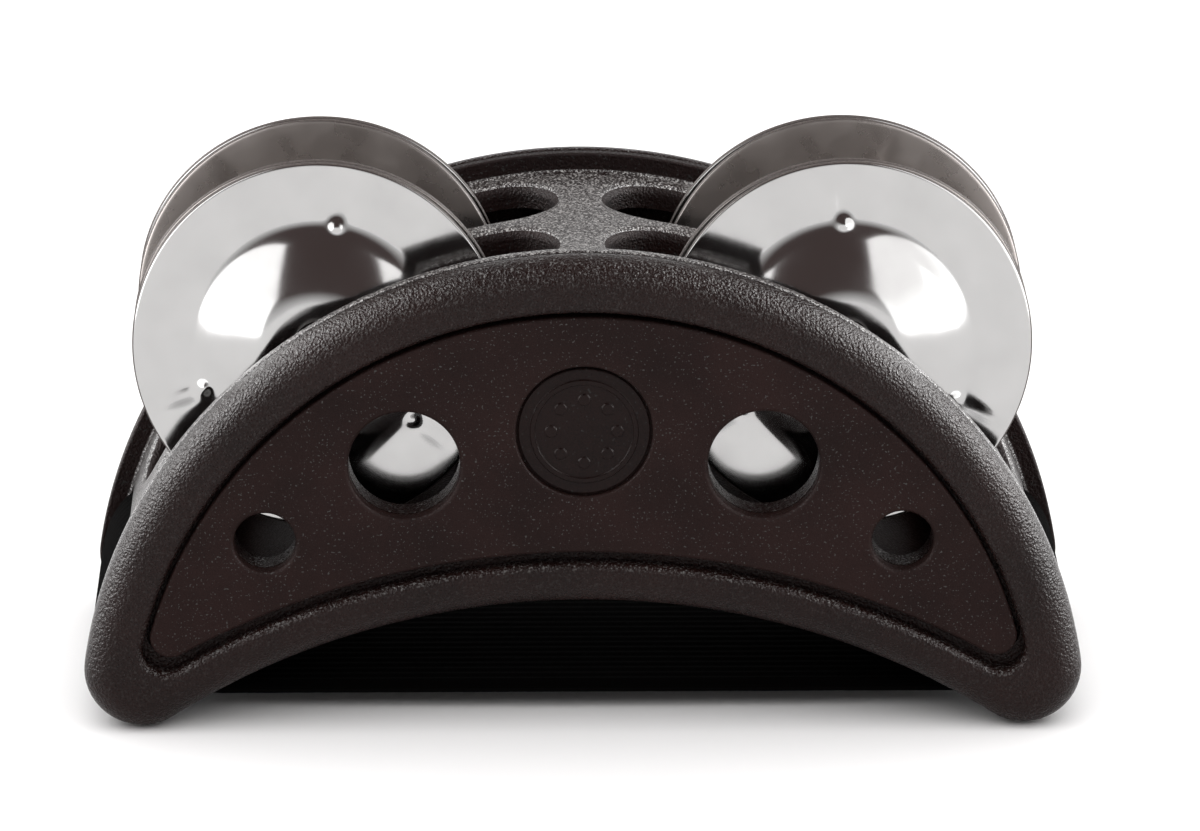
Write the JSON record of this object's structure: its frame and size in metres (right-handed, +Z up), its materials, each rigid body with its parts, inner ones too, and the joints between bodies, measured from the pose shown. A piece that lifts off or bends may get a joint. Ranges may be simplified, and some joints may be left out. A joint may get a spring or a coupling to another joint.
{
  "type": "foot tambourine",
  "caption": "Crescent-bodied foot tambourine with steel jingle pairs standing through slots in a curved deck, an arch for a shoe and an elastic strap.",
  "frame": {"origin": "bottom centre: midway between the two feet and between the front and rear covers, at the height the feet stand on", "axes": "+X to the right seen from the front, +Y from the front cover to the rear cover, +Z up"},
  "size_m": [0.1366, 0.058, 0.0762],
  "materials": {
    "grained_plastic": "black moulded plastic with a pebbled grain",
    "panel_plastic": "black moulded plastic with a fine sparkly grain",
    "smooth_plastic": "smooth satin black plastic",
    "mirror_steel": "polished nickel-plated steel sheet",
    "pin_steel": "drawn steel wire",
    "zinc_steel": "zinc-plated steel",
    "webbing": "woven black elastic"
  },
  "bodies": {
    "body": {"body_frame": "grained_plastic", "strap": "webbing", "front_cover": "grained_plastic", "front_panel": "panel_plastic", "front_badge": "smooth_plastic", "front_screw_top": "zinc_steel", "front_screw_middle": "zinc_steel", "front_screw_left": "zinc_steel", "front_screw_right": "zinc_steel", "rear_cover": "grained_plastic", "rear_panel": "panel_plastic", "rear_badge": "smooth_plastic", "rear_screw_top": "zinc_steel", "rear_screw_middle": "zinc_steel", "rear_screw_left": "zinc_steel", "rear_screw_right": "zinc_steel", "strap_rod_left": "zinc_steel", "strap_rod_right": "zinc_steel"},
    "pin_left": {"jingle_pin_left": "pin_steel"},
    "left_front_jingle_front": {"jingle_left_front_pair_front": "mirror_steel"},
    "left_front_jingle_rear": {"jingle_left_front_pair_rear": "mirror_steel"},
    "left_rear_jingle_front": {"jingle_left_rear_pair_front": "mirror_steel"},
    "left_rear_jingle_rear": {"jingle_left_rear_pair_rear": "mirror_steel"},
    "pin_right": {"jingle_pin_right": "pin_steel"},
    "right_front_jingle_front": {"jingle_right_front_pair_front": "mirror_steel"},
    "right_front_jingle_rear": {"jingle_right_front_pair_rear": "mirror_steel"},
    "right_rear_jingle_front": {"jingle_right_rear_pair_front": "mirror_steel"},
    "right_rear_jingle_rear": {"jingle_right_rear_pair_rear": "mirror_steel"}
  },
  "joints": [
    {"name": "pin_left_end_float", "type": "slide", "parent": "body", "child": "pin_left", "axis": [0, 1, 0], "range_m": [-0.0004, 0.0004]},
    {"name": "left_front_jingle_front_spin", "type": "hinge", "parent": "pin_left", "child": "left_front_jingle_front", "pos_m": [-0.0362, -0.01343, 0.0509], "axis": [0, -0.9954, 0.0958], "continuous": true},
    {"name": "left_front_jingle_rear_spin", "type": "hinge", "parent": "pin_left", "child": "left_front_jingle_rear", "pos_m": [-0.0362, -0.00727, 0.0509], "axis": [0, 0.9954, 0.0958], "continuous": true},
    {"name": "left_rear_jingle_front_spin", "type": "hinge", "parent": "pin_left", "child": "left_rear_jingle_front", "pos_m": [-0.0362, 0.00727, 0.0509], "axis": [0, -0.9954, 0.0958], "continuous": true},
    {"name": "left_rear_jingle_rear_spin", "type": "hinge", "parent": "pin_left", "child": "left_rear_jingle_rear", "pos_m": [-0.0362, 0.01343, 0.0509], "axis": [0, 0.9954, 0.0958], "continuous": true},
    {"name": "pin_right_end_float", "type": "slide", "parent": "body", "child": "pin_right", "axis": [0, 1, 0], "range_m": [-0.0004, 0.0004]},
    {"name": "right_front_jingle_front_spin", "type": "hinge", "parent": "pin_right", "child": "right_front_jingle_front", "pos_m": [0.0362, -0.01343, 0.0509], "axis": [0, -0.9954, 0.0958], "continuous": true},
    {"name": "right_front_jingle_rear_spin", "type": "hinge", "parent": "pin_right", "child": "right_front_jingle_rear", "pos_m": [0.0362, -0.00727, 0.0509], "axis": [0, 0.9954, 0.0958], "continuous": true},
    {"name": "right_rear_jingle_front_spin", "type": "hinge", "parent": "pin_right", "child": "right_rear_jingle_front", "pos_m": [0.0362, 0.00727, 0.0509], "axis": [0, -0.9954, 0.0958], "continuous": true},
    {"name": "right_rear_jingle_rear_spin", "type": "hinge", "parent": "pin_right", "child": "right_rear_jingle_rear", "pos_m": [0.0362, 0.01343, 0.0509], "axis": [0, 0.9954, 0.0958], "continuous": true}
  ]
}
